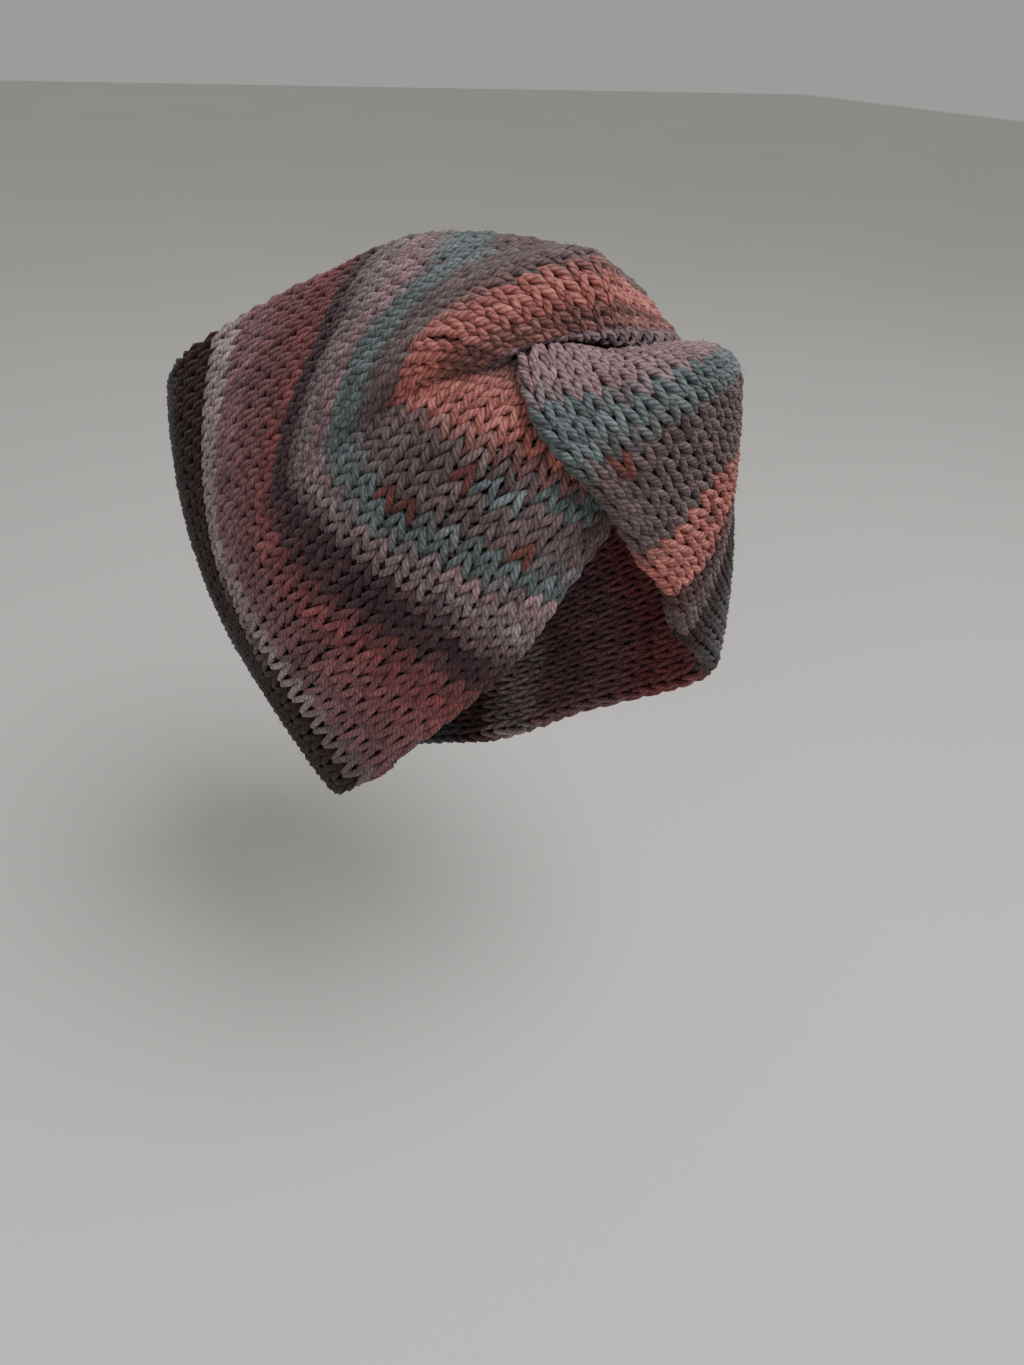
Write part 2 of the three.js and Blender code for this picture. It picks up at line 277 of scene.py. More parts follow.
SEAM_PACKING = {RIGHT: 1.4, LEFT: 0.5}  # rows at the seam are closer by this, easing off
PACKING_REACH = 0.25  # over this share of the curved part,
PACKING_SPREAD = 0.4  # and not at all on the middle column
CREASE_STRETCH = 0.3  # rows are further apart by this towards the crease,
STRETCH_FROM = 0.5  # from this share of the curved part on
STRETCH_REACH = 0.3
EVEN_COLUMNS = 0.85  # share of the columns' places taken from arc length, the rest from the flat band
ROW_SKEW = 0.08  # rows run this much nearer to the twist at the lower edge of each crease
SKEW_PLACE = 0.52
SKEW_REACH = 0.25
SKEW_FROM = -0.25  # place across where that skew begins, growing towards the lower edge
SKEW_SPREAD = 1.1
GRID_ROWS = 4  # lines of the table below per row,
GRID_COLUMNS = 61  # and lines across
LENGTH_STEPS = 400  # steps in which the length of a column is summed
STRAIGHT_EDGE = 0.985  # beyond this place across, points run on straight from the surface

# Differences from stitch to stitch, as standard deviations: the lean in radians, the turn in stitches,
# the reach and the row in rows, the height and the thickness in millimetres, the tone as a share.
LEAN_DRIFT = 0.07
REACH_DRIFT = 0.03
TURN_DRIFT = 0.05
ROW_DRIFT = 0.03
HEIGHT_DRIFT = 0.12
THICK_DRIFT = 0.05
TONE_DRIFT = 0.13
LEG_SWELL = 0.2  # the legs of a stitch are thicker by this share, its ends thinner
EDGE_ROOM = 0.6  # yarn radii from the band's edge in to the line that the yarn winds about
SEED_STEP = 40  # keeps the random numbers of the two strips apart

# Loose fibres.
FIBRE_LENGTHS = (1.0, 3.0)  # shortest and longest, in millimetres
FIBRE_THICKNESS = (0.065, 0.05, 0.02)  # half thickness at three rings, in millimetres,
FIBRE_RINGS = (-0.05, 0.5, 1.0)  # at these shares of the length
FIBRE_SCATTER = 0.55  # standard deviation of the way a fibre takes, on a way out of length 1
FIBRE_BEND = 0.45
FIBRE_PAINTED_LIGHT = 1.25  # painted light: its colour as a share of the yarn's, lighter as if lit

# Sewing of the twist.
SEWING_LOOPS = 9
SEWING_POINTS = 28  # points on each loop
SEWING_LEAN = 2.2  # millimetres along the seam, one way at the top and the other below
SEWING_THICKNESS = 0.8  # share of the knitting yarn's

# Inner wall.
WALL_AROUND = 104  # points round it,
WALL_ALONG = 64  # and rings along each strip
WALL_INSET = 3  # millimetres in from the tube's edge
WALL_RADIUS = 1.5  # half its thickness, in millimetres
WALL_PAINTED_SHADE = 0.3  # painted shade: its colours are the yarn's darkened to this share, for the shade between the loops


def rows_of(side, settings):
    """Rows from the twist to the first straight row, and to the middle of the back."""
    curved = settings.right_rows if side == RIGHT else settings.left_rows
    return curved, curved + settings.back_rows


def smooth_sum(share):
    """Sum up to a share of a column of the smooth step that starts at STRETCH_FROM: its reach times x
    cubed less half x to the fourth, and one for one past its end."""
    x = np.clip((share - STRETCH_FROM) / STRETCH_REACH, 0.0, 1.0)
    past = np.maximum(share - STRETCH_FROM - STRETCH_REACH, 0.0)
    return STRETCH_REACH * (x**3 - x**4 / 2) + past


def row_table(side, settings, half_width):
    """Places along a strip by row number and by place across. Up to the straight rows each column is
    shared out by the arc length of its outer face, with a weight of 1 plus the packing times the square
    of what is left of its reach, less the stretch times a smooth step near the crease. From there on
    rows are even. Returns the table and the mean length of a column."""
    curved, rows = rows_of(side, settings)
    tau = np.linspace(0, 1, LENGTH_STEPS + 1)
    t = np.linspace(-1, 1, GRID_COLUMNS)
    middle, _, normal = strip_frame(tau[:, None], t[None, :], side, half_width)
    points = middle + normal * settings.wall / MM / 3
    steps = np.linalg.norm(np.diff(points, axis=0), axis=2)
    length = np.concatenate([np.zeros((1, GRID_COLUMNS)), steps.cumsum(axis=0)])
    straight = np.array([np.interp(STRAIGHT_TAU, tau, column) for column in length.T])
    share = np.minimum(length / straight, 1)
    packing = SEAM_PACKING[side] * smooth(np.abs(t) / PACKING_SPREAD) * PACKING_REACH / 3
    counted = share + packing * (1 - (1 - np.minimum(share / PACKING_REACH, 1)) ** 3)
    counted = counted - CREASE_STRETCH * smooth_sum(share)
    past = np.maximum((tau - STRAIGHT_TAU) / (1 - STRAIGHT_TAU), 0)[:, None]
    number = curved * counted / (1 + packing - CREASE_STRETCH * smooth_sum(1.0)) + (rows - curved) * past
    lines = np.linspace(0, rows, rows * GRID_ROWS + 1)
    table = np.stack([np.interp(lines, column, tau) for column in number.T], axis=1)
    return table, float(length[-1].mean())


def column_table(table, side, half_width):
    """Places across the outer face by row number and by share of its columns: a weighted mean of the
    arc length along the row, as a share of the whole, and of the place across the flat band."""
    t = np.linspace(-1, 1, GRID_COLUMNS)
    points = strip_frame(table, t[None, :] + 0 * table, side, half_width)[0]
    steps = np.linalg.norm(np.diff(points, axis=1), axis=2)
    length = np.concatenate([np.zeros((len(table), 1)), steps.cumsum(axis=1)], axis=1)
    even = 2 * length / length[:, -1:] - 1
    share = EVEN_COLUMNS * even + (1 - EVEN_COLUMNS) * t
    return np.array([np.interp(t, row, t) for row in share])


def between_lines(row, place, table):
    """A value of a table for a row number and a place from -1 to 1, by linear steps."""
    line = np.clip(row * GRID_ROWS, 0, len(table) - 1)
    column = np.clip((place + 1) / 2, 0, 1) * (GRID_COLUMNS - 1)
    i = np.minimum(line.astype(int), len(table) - 2)
    k = np.minimum(column.astype(int), GRID_COLUMNS - 2)
    down, over = line - i, column - k
    near = table[i, k] * (1 - over) + table[i, k + 1] * over
    far = table[i + 1, k] * (1 - over) + table[i + 1, k + 1] * over
    return near * (1 - down) + far * down


def row_place(row, t, table):
    """Place along a strip for a row number and a place across, run on evenly past both ends."""
    last = (len(table) - 1) / GRID_ROWS
    first_step = (table[1, 0] - table[0, 0]) * GRID_ROWS
    last_step = (table[-1, 0] - table[-2, 0]) * GRID_ROWS
    past = np.minimum(row, 0) * first_step + np.maximum(row - last, 0) * last_step
    return between_lines(row, t, table) + past


def tube_outline(turn, half_width, radius):
    """The flattened tube's outline as a stadium: share across from -1 to 1, and outward direction, for
    turn from 0 at the lower end of the outer face, once round."""
    straight = 2 * (half_width - radius)
    bend = math.pi * radius
    knots = np.array([0, straight, straight + bend, 2 * straight + bend, 2 * straight + 2 * bend])
    length = (turn % 1.0) * knots[-1]
    angle = np.interp(length, knots, np.radians([90, 90, -90, -90, -270]))
    share = np.interp(length, knots, np.array([-1.0, 1.0, 1.0, -1.0, -1.0]))
    return share, np.stack([np.cos(angle), np.sin(angle)], -1)


def place_on_tube(row, turn, relief, side, tables, half_width, radius):
    """Points at a row number and turn round the tube, raised by relief, with their outward normals."""
    table, columns = tables
    share, out = tube_outline(turn, half_width, radius)
    share = between_lines(row, share + 0 * row, columns)
    across = share * (half_width - radius) + (radius + relief) * out[..., 0]
    height = (radius + relief) * out[..., 1]
    t = across / half_width
    tau = row_place(row, np.clip(t, -1, 1), table)
    low = smooth((side * t - SKEW_FROM) / SKEW_SPREAD)
    tau = tau - ROW_SKEW * np.exp(-(((tau - SKEW_PLACE) / SKEW_REACH) ** 2)) * low
    inside = np.clip(t, -STRAIGHT_EDGE, STRAIGHT_EDGE)
    point, across_way, normal = strip_frame(tau, inside, side, half_width)
    point = point + across_way * ((t - inside) * half_width)[..., None] + normal * height[..., None]
    outward = across_way * out[..., :1] + normal * out[..., 1:]
    return point, unit(outward)


def drifting(rng, shape, points_each, size):
    """Small differences from stitch to stitch along each round, eased from one to the next."""
    rows, stitches = shape
    picks = rng.normal(0, size, (rows, stitches))
    place = np.arange(stitches * points_each) / points_each
    i = place.astype(int)
    part = smooth(place - i)
    return picks[:, i % stitches] * (1 - part) + picks[:, (i + 1) % stitches] * part


# Shades of the self-striping yarn.
SHADES = (
    "umber",
    "clay",
    "coral",
    "taupe",
    "teal",
    "mauve",
    "pale",
    "lilac",
    "plum",
    "rose",
    "dusty",
    "pink",
    "cream",
    "bark",
    "slate",
    "rust",
)

# Row at which each stripe starts, counted from the twist, at some places across the band; one number
# where the stripe runs straight across. To the nearest half row.
RIGHT_PLACES = (-0.8, -0.3, 0.1, 0.4, 0.9)
RIGHT_STRIPES = (
    ("umber", 0),
    ("lilac", (1.5, 1.5, 0.5, 0, 0)),
    ("clay", (2.5, 2.5, 1, 1, 1)),
    ("coral", (5, 4.5, 3.5, 3, 3)),
    ("taupe", (8, 8.5, 7, 5.5, 5)),
    ("teal", (12.5, 13.5, 9.5, 11, 13)),
    ("mauve", (14, 16, 13, 13.5, 15.5)),
    ("pale", (15.5, 16.5, 15, 16, 17)),
    ("lilac", (17, 17, 16.5, 17.5, 18.5)),
    ("plum", (18.5, 18, 17.5, 18, 19.5)),
    ("rose", (21.5, 21.5, 20, 20, 20.5)),
    ("dusty", (23.5, 23, 22, 22.5, 23)),
    ("pink", (25.5, 24.5, 24.5, 25, 25)),
    ("cream", (26, 26, 27, 27, 27)),
    ("bark", (26.5, 27.5, 29, 29, 29)),
    ("slate", (31, 31.5, 32.5, 32.5, 32.5)),
    ("lilac", 34.5),
    ("rose", 38),
    ("taupe", 41.5),
    ("teal", 45.5),
)
LEFT_PLACES = (-0.3, 0.3, 0.6, 0.75, 0.95)
LEFT_STRIPES = (
    ("mauve", 0),
    ("teal", (3.5, 4, 3.5, 3, 2.5)),
    ("taupe", (6, 6, 5.5, 5.5, 6.5)),
    ("coral", (11.5, 11, 11, 11, 11.5)),
    ("umber", (14, 14, 14.5, 15, 15)),
    ("taupe", (15.5, 16, 16.5, 17, 17.5)),
    ("bark", (18, 19, 20.5, 21.5, 22)),
    ("slate", (22, 23.5, 25, 25.5, 26)),
    ("lilac", (24.5, 26, 27, 27.5, 28)),
    ("plum", (27, 28, 28.5, 28.5, 28.5)),
    ("rose", 30),
    ("pink", 34.5),
    ("cream", 40),
    ("umber", 43.5),
    ("slate", 46),
    ("teal", 48.5),
)

SHADE_BLEND = 1.0  # rows over which one shade passes into the next
# Short changes of shade within a row: side, row, lowest and highest place across, shade.
FLECKS = (
    (RIGHT, 8, -1.0, -0.64, "teal"),
    (RIGHT, 9, -0.75, -0.48, "teal"),
    (RIGHT, 10, -0.5, -0.39, "teal"),
    (RIGHT, 10, -0.38, -0.34, "rust"),
    (RIGHT, 13, -0.34, -0.26, "rust"),
    (RIGHT, 12, -0.66, -0.58, "rust"),
    (LEFT, 6, 0.68, 0.78, "rust"),
)


def stitch_colours(side, rows, stitches, columns, colours):
    """Colour of every stitch: the first stripe's, plus for each further stripe its change of colour times
    a ramp SHADE_BLEND rows long about its start. The head side of the tube repeats the outer side, and
    the flecks are laid over that."""
    places, stripes = (RIGHT_PLACES, RIGHT_STRIPES) if side == RIGHT else (LEFT_PLACES, LEFT_STRIPES)
    column = np.arange(stitches)[None, :]
    share = (np.minimum(column, stitches - 1 - column) + 0.5) * 4 / stitches - 1
    middle = np.arange(rows)[:, None] + 0.5
    across = between_lines(middle + 0 * share, share + 0 * middle, columns)
    starts = np.stack(
        [np.interp(across, places, start + np.zeros(len(places))) for _, start in stripes[1:]], axis=-1
    )
    ramp = np.clip((middle[..., None] - starts) / SHADE_BLEND + 0.5, 0, 1)
    ladder = colours[[SHADES.index(name) for name, _ in stripes]]
    mixed = ladder[0] + ramp @ np.diff(ladder, axis=0)
    for fleck_side, row, low, high, name in FLECKS:
        if fleck_side == side:
            mixed[row, (across[row] >= low) & (across[row] < high)] = colours[SHADES.index(name)]
    return mixed


def yarn_surface(points, outward, thick, sides):
    """Rings of points about closed loops of yarn, square to it, and the length along each loop in
    millimetres. Each ring starts on the outer side."""
    way = unit(np.roll(points, -1, axis=1) - np.roll(points, 1, axis=1))
    beside = unit(np.cross(way, outward))
    outward = np.cross(beside, way)
    spin = 2 * math.pi * np.arange(sides) / sides
    ring = outward[:, :, None, :] * np.cos(spin)[:, None] + beside[:, :, None, :] * np.sin(spin)[:, None]
    length = np.linalg.norm(np.roll(points, -1, axis=1) - points, axis=-1).cumsum(axis=1)
    return points[:, :, None, :] + ring * thick[..., None, None], length


def knit_rounds(side, first, last, settings, tables, shade_colours, seed):
    """Rounds of yarn. Along each round the place across runs evenly with a lean of sin of twice the
    stitch's angle, the place along the band is the reach times cos of that angle, and the height is
    minus the relief times cos of twice it, so each stitch shows two legs and hides its head. Returns
    rings of points, the length along each round in yarn girths, and colours."""
    rng = np.random.default_rng(seed)
    segments = settings.segments
    stitches = settings.columns_round
    half_width = settings.band_width / MM / 2
    yarn = settings.yarn_radius / MM
    relief = settings.loop_relief / MM
    rows = last - first
    shape = (rows, stitches)
    count = stitches * segments
    angle = 2 * math.pi * np.arange(count) / segments
    lean = settings.loop_lean + drifting(rng, shape, segments, LEAN_DRIFT)
    reach = settings.loop_reach + drifting(rng, shape, segments, REACH_DRIFT)
    turn = (angle + lean * np.sin(2 * angle)) / (2 * math.pi * stitches)
    turn = turn + drifting(rng, shape, segments, TURN_DRIFT) / stitches
    open_way = -side
    row = np.arange(first, last)[:, None] + 0.5 + open_way * reach * np.cos(angle)
    row = row + drifting(rng, shape, segments, ROW_DRIFT)
    height = -relief * np.cos(2 * angle) + drifting(rng, shape, segments, HEIGHT_DRIFT)
    radius = settings.wall / MM / 2 - yarn - relief
    edge = half_width - yarn * EDGE_ROOM
    points, outward = place_on_tube(row, turn + 0 * row, height, side, tables, edge, radius)
    thick = yarn * (1 - LEG_SWELL * np.cos(2 * angle)) + drifting(rng, shape, segments, THICK_DRIFT)
    surface, length = yarn_surface(points, outward, thick, settings.yarn_sides)
    stitch = np.floor(np.arange(count) / segments + 0.5).astype(int) % stitches
    tone = 1 + rng.normal(0, TONE_DRIFT, shape)
    colour = stitch_colours(side, rows_of(side, settings)[1], stitches, tables[1], shade_colours)
    colour = colour[first:last] * tone[..., None]
    colour = colour[:, stitch]
    return surface, length / (2 * math.pi * yarn), colour


def loose_fibres(rounds, share, seed):
    """Short fibres that stand off the yarn: a bent prism of three square rings from a random point of the
    surface, along the way out plus a random way, and bent by another random way times the square of the
    distance. Returns vertices, quads and colours: the yarn's colours made lighter as painted light."""
    rng = np.random.default_rng(seed)
    surface, _, colour = rounds
    number, count, sides, _ = surface.shape
    picked = rng.choice(number * count * sides, int(number * count * sides * share), replace=False)
    ring = picked // sides
    middle = surface.mean(axis=2).reshape(-1, 3)[ring]
    root = surface.reshape(-1, 3)[picked]
    out = unit(root - middle)
    way = unit(out + rng.normal(0, FIBRE_SCATTER, out.shape))
    bend = rng.normal(0, FIBRE_BEND, out.shape)
    length = rng.uniform(*FIBRE_LENGTHS, len(picked))[:, None]
    thick = np.array(FIBRE_THICKNESS)
    first = unit(np.cross(way, out + 0.1))
    second = np.cross(way, first)
    corners = np.stack([first, second, -first, -second], 1)
    along = np.array(FIBRE_RINGS)
    line = root[:, None] + length[:, None] * (
        along[:, None] * way[:, None] + (along * np.abs(along))[:, None] * bend[:, None]
    )
    vertices = line[:, :, None, :] + corners[:, None] * thick[:, None, None]
    k = np.arange(4)
    wall = np.stack([k, (k + 1) % 4, (k + 1) % 4 + 4, k + 4], -1)
    pattern = np.concatenate([wall, wall + 4, np.array([[3, 2, 1, 0], [8, 9, 10, 11]])])
    faces = pattern + 12 * np.arange(len(picked))[:, None, None]
    # painted light: each fibre takes its yarn's colour made lighter
    tone = colour.reshape(-1, 3)[ring] * FIBRE_PAINTED_LIGHT
    return vertices.reshape(-1, 3), faces.reshape(-1, 4), np.repeat(tone, 12, axis=0)


def sewing_loops(settings, tone):
    """Loops of yarn over the seam: ellipses square to it that lean by the sine of their angle. Returns
    rings of points, the length along each loop in yarn girths, and colours."""
    yarn = settings.yarn_radius / MM
    tilt = math.radians(SEAM_TILT)
    angle = 2 * math.pi * np.arange(SEWING_POINTS) / SEWING_POINTS
    reach = SEAM_LENGTH / 2 - FOLD_ROOM - yarn
    place = np.linspace(-reach, reach, SEWING_LOOPS)[:, None] + SEWING_LEAN * np.sin(angle)
    away = SEAM_BEAD / 2 * np.cos(angle) + 0 * place
    lift = (SEAM_TOP + yarn) / 2 + (SEAM_TOP + yarn) / 2 * np.sin(angle) + 0 * place
    x = place * math.cos(tilt) - away * math.sin(tilt)
    y = SEAM_RISE + place * math.sin(tilt) + away * math.cos(tilt)
    u, v = x / HALF_LENGTH, y / (settings.band_width / MM / 2)
    points = carrier_point(u, v) + carrier_normal(u, v) * lift[..., None]
    outward = unit(points - points.mean(axis=1, keepdims=True))
    thick = yarn * SEWING_THICKNESS + 0 * place
    surface, length = yarn_surface(points, outward, thick, settings.yarn_sides)
    return surface, length / (2 * math.pi * yarn), np.broadcast_to(tone, points.shape)


def tube_faces(rounds, count, sides):
    """Quads of tubes that run in closed rounds, and each quad corner's round, its place along the yarn
    and its place about it. Places run on past the closing edge, so that a map doesn't turn back there."""
    r, i, s = np.meshgrid(np.arange(rounds), np.arange(count), np.arange(sides), indexing="ij")
    near, far = s, (s + 1) % sides
    here, there = i, (i + 1) % count
    base = r * count * sides
    faces = np.stack(
        [
            base + here * sides + near,
            base + there * sides + near,
            base + there * sides + far,
            base + here * sides + far,
        ],
        -1,
    ).reshape(-1, 4)
    corner_i = np.stack([i, i + 1, i + 1, i], -1).reshape(-1, 4)
    corner_s = np.stack([s, s, s + 1, s + 1], -1).reshape(-1, 4)
    corner_r = np.repeat(r.reshape(-1, 1), 4, axis=1)
    return faces, corner_r, corner_i, corner_s


def faces_inwards(vertices, faces):
    """Whether the faces look inwards, so that their summed volume is negative."""
    a, b, c, d = (vertices[faces[:, k]] for k in range(4))
    volume = (np.cross(b - a, c - a) * (a - vertices.mean(axis=0))).sum()
    volume += (np.cross(c - a, d - a) * (a - vertices.mean(axis=0))).sum()
    return volume < 0


def put_mesh(name, vertices, faces, material, maps=None, colours=None):
    """Makes an object of quads from whole arrays. The vertices are given in millimetres and kept in
    metres."""
    mesh = bpy.data.meshes.new(name)
    mesh.vertices.add(len(vertices))
    mesh.vertices.foreach_set("co", (vertices * MM).astype(np.float32).ravel())
    mesh.loops.add(faces.size)
    mesh.loops.foreach_set("vertex_index", faces.astype(np.int32).ravel())
    mesh.polygons.add(len(faces))
    mesh.polygons.foreach_set("loop_start", np.arange(0, faces.size, 4, dtype=np.int32))
    mesh.polygons.foreach_set("use_smooth", np.ones(len(faces), dtype=bool))
    mesh.update(calc_edges=True)
    if maps is not None:
        layer = mesh.uv_layers.new(name="yarn_map")
        layer.data.foreach_set("uv", maps.astype(np.float32).ravel())
    if colours is not None:
        paint = mesh.attributes.new("yarn_shade", "FLOAT_COLOR", "POINT")
        full = np.concatenate([np.clip(colours, 0, 1), np.ones((len(colours), 1))], axis=1)
        paint.data.foreach_set("color", full.astype(np.float32).ravel())
    if mesh.validate():
        raise RuntimeError(name + " had faces that Blender had to mend")
    mesh.materials.append(material)
    piece = bpy.data.objects.new(name, mesh)
    bpy.context.collection.objects.link(piece)
    return piece


# ---------------------------------------------------------------------------------------------------
# Materials.

STRAND_POWER = 0.6  # below 1, strands are rounder on top and the grooves between them sharper
FIBRE_HEIGHT = 0.9  # height of the fine fibres against the strands'
GROOVE_PAINTED_SHADE = 0.6  # painted shade: colour at the bottom of a groove between strands, as a share, and the painted light that a strand's top adds to it likewise painted shade for the fine fibres, darker where their bump is low
STRAND_PAINTED_LIGHT = 0.55  # and what a strand's top adds to it
FUZZ_PAINTED_SHADE = 0.85  # likewise for the fine fibres
FUZZ_SPAN = 0.3


def new_group(name, inputs, outputs):
    """A shader node group with named sockets; inputs are (name, kind, default)."""
    group = bpy.data.node_groups.new(name, "ShaderNodeTree")
    for label, kind, value in inputs:
        socket = group.interface.new_socket(label, in_out="INPUT", socket_type=kind)
        if value is not None:
            socket.default_value = value
    for label, kind in outputs:
        group.interface.new_socket(label, in_out="OUTPUT", socket_type=kind)
    return group, group.nodes.new("NodeGroupInput"), group.nodes.new("NodeGroupOutput")


def maths(tree, operation, a, b=None):
    """A Math node on sockets or numbers; returns its result."""
    node = tree.nodes.new("ShaderNodeMath")
    node.operation = operation
    for socket, value in zip(node.inputs, (a, b)):
        if isinstance(value, bpy.types.NodeSocket):
            tree.links.new(value, socket)
        elif value is not None:
            socket.default_value = value
    return node.outputs[0]


def plied_yarn_group():
    """Twisted strands and fine fibres: strand height is the rounded sine of the map's two directions, and
    the shade is darkened in the grooves and where the fibre bump is low, as painted shade.
    """
    group, given, result = new_group(
        "plied_yarn",
        (
            ("Shade", "NodeSocketColor", (0.5, 0.4, 0.4, 1)),
            ("Strands", "NodeSocketFloat", 3.0),
            ("Twist", "NodeSocketFloat", 1.0),
            ("Heather", "NodeSocketFloat", 0.2),
        ),
        (("Shade", "NodeSocketColor"), ("Height", "NodeSocketFloat")),
    )
    tree = group
    uv = tree.nodes.new("ShaderNodeUVMap")
    uv.uv_map = "yarn_map"
    parts = tree.nodes.new("ShaderNodeSeparateXYZ")
    tree.links.new(uv.outputs["UV"], parts.inputs[0])
    along = maths(tree, "MULTIPLY", parts.outputs["X"], given.outputs["Twist"])
    around = maths(tree, "MULTIPLY", parts.outputs["Y"], given.outputs["Strands"])
    phase = maths(tree, "MULTIPLY", maths(tree, "ADD", along, around), math.pi)
    strand = maths(tree, "ABSOLUTE", maths(tree, "SINE", phase))
    strand = maths(tree, "POWER", strand, STRAND_POWER)
    place = tree.nodes.new("ShaderNodeTexCoord")
    fibres = tree.nodes.new("ShaderNodeTexNoise")
    fibres.inputs["Scale"].default_value = 1100
    fibres.inputs["Detail"].default_value = 3
    tree.links.new(place.outputs["Object"], fibres.inputs["Vector"])
    flecks = tree.nodes.new("ShaderNodeTexNoise")
    flecks.inputs["Scale"].default_value = 420
    flecks.inputs["Detail"].default_value = 4
    flecks.inputs["Roughness"].default_value = 0.7
    tree.links.new(place.outputs["Object"], flecks.inputs["Vector"])
    height = maths(tree, "ADD", strand, maths(tree, "MULTIPLY", fibres.outputs["Fac"], FIBRE_HEIGHT))
    tree.links.new(height, result.inputs["Height"])
    # painted shade: the colour follows the strand height, darker in the grooves and between low fibres
    groove_painted_shade = maths(tree, "ADD", maths(tree, "MULTIPLY", strand, STRAND_PAINTED_LIGHT), GROOVE_PAINTED_SHADE)
    grain = maths(tree, "SUBTRACT", flecks.outputs["Fac"], 0.5)
    grain = maths(tree, "ADD", maths(tree, "MULTIPLY", grain, given.outputs["Heather"]), 1.0)
    fuzz_painted_shade = maths(tree, "MULTIPLY", fibres.outputs["Fac"], FUZZ_SPAN)
    fuzz_painted_shade = maths(tree, "ADD", fuzz_painted_shade, FUZZ_PAINTED_SHADE)
    value = maths(tree, "MULTIPLY", maths(tree, "MULTIPLY", groove_painted_shade, grain), fuzz_painted_shade)
    scale = tree.nodes.new("ShaderNodeVectorMath")
    scale.operation = "SCALE"
    tree.links.new(given.outputs["Shade"], scale.inputs[0])
    tree.links.new(value, scale.inputs["Scale"])
    tree.links.new(scale.outputs[0], result.inputs["Shade"])
    return group


def wool_material(name, group, strands, twist, heather, depth, sheen):
    """Matt wool whose shade comes from the piece's own yarn_shade, with strands and fibres as a bump."""
    material = bpy.data.materials.new(name)
    material.use_nodes = True
    tree = material.node_tree
    shader = tree.nodes["Principled BSDF"]
    shader.inputs["Roughness"].default_value = 0.92
    shader.inputs["Specular IOR Level"].default_value = 0.18
    shader.inputs["Sheen Weight"].default_value = sheen
    shader.inputs["Sheen Roughness"].default_value = 0.55
    shade = tree.nodes.new("ShaderNodeAttribute")
    shade.attribute_name = "yarn_shade"
    ply = tree.nodes.new("ShaderNodeGroup")
    ply.node_tree = group
    ply.inputs["Strands"].default_value = strands
    ply.inputs["Twist"].default_value = twist
    ply.inputs["Heather"].default_value = heather
    tree.links.new(shade.outputs["Color"], ply.inputs["Shade"])
    # the ply group's shade holds painted shade in the strands' grooves and between the fine fibres
    tree.links.new(ply.outputs["Shade"], shader.inputs["Base Color"])
    bump = tree.nodes.new("ShaderNodeBump")
    bump.inputs["Strength"].default_value = 0.9
    bump.inputs["Distance"].default_value = depth
    tree.links.new(ply.outputs["Height"], bump.inputs["Height"])
    tree.links.new(bump.outputs["Normal"], shader.inputs["Normal"])
    return material


def backdrop_material():
    """Pale matt paper with a faint mottle."""
    material = bpy.data.materials.new("pale_floor")
    material.use_nodes = True
    tree = material.node_tree
    shader = tree.nodes["Principled BSDF"]
    shader.inputs["Roughness"].default_value = 0.9
    place = tree.nodes.new("ShaderNodeTexCoord")
    mottle = tree.nodes.new("ShaderNodeTexNoise")
    mottle.inputs["Scale"].default_value = 3
    ramp = tree.nodes.new("ShaderNodeValToRGB")
    ramp.color_ramp.elements[0].color = (0.66, 0.65, 0.62, 1)
    ramp.color_ramp.elements[1].color = (0.72, 0.71, 0.68, 1)
    tree.links.new(place.outputs["Object"], mottle.inputs["Vector"])
    tree.links.new(mottle.outputs["Fac"], ramp.inputs["Fac"])
    tree.links.new(ramp.outputs["Color"], shader.inputs["Base Color"])
    return material


# ---------------------------------------------------------------------------------------------------
# Settings.


def shade_property(name, colour):
    """A colour of the yarn."""
    text = "Colour of the yarn's " + name.lower() + " stretches"
    return FloatVectorProperty(
        name=name, description=text, default=colour, size=3, min=0, max=1, subtype="COLOR"
    )


def length_property(name, text, value):
    """A length in metres."""
    return FloatProperty(name=name, description=text, default=value, unit="LENGTH")


def number_property(name, text, value):
    """A plain number."""
    return FloatProperty(name=name, description=text, default=value)


def count_property(name, text, value, least):
    """A whole number."""
    return IntProperty(name=name, description=text, default=value, min=least)


def power_property(name, text, value):
    """A lamp's power in watts."""
    return FloatProperty(name=name, description=text, default=value, subtype="POWER")


class EarWarmerKnit(bpy.types.PropertyGroup):
    """Sizes and counts of the knitting"""

    band_width: length_property("Band width", "Width of the flattened tube", 0.196)
    wall: length_property("Wall", "Thickness of the two layers", 0.009)
    yarn_radius: length_property("Yarn radius", "Half the yarn's thickness", 0.0011)
    loop_lean: number_property("Lean", "How far the legs of a stitch lean", 1.65)
    loop_reach: number_property("Reach", "Half a loop's height, in rows", 0.98)
    loop_relief: length_property("Relief", "How far legs stand out", 0.0011)
    columns_round: count_property("Columns", "Columns of stitches round the tube", 58, 8)
    right_rows: count_property("Right rows", "Rows in the curved part on the wearer's right", 26, 4)
    left_rows: count_property("Left rows", "Rows in the curved part on the wearer's left", 29, 4)
    back_rows: count_property("Back rows", "Straight rows to the middle of the back", 22, 4)
    segments: count_property("Segments", "Segments in each stitch", 11, 6)
    fibre_share: number_property("Fibres", "Share of the yarn's points with a loose fibre", 0.016)
    yarn_sides: count_property("Sides", "Sides of the yarn", 6, 3)


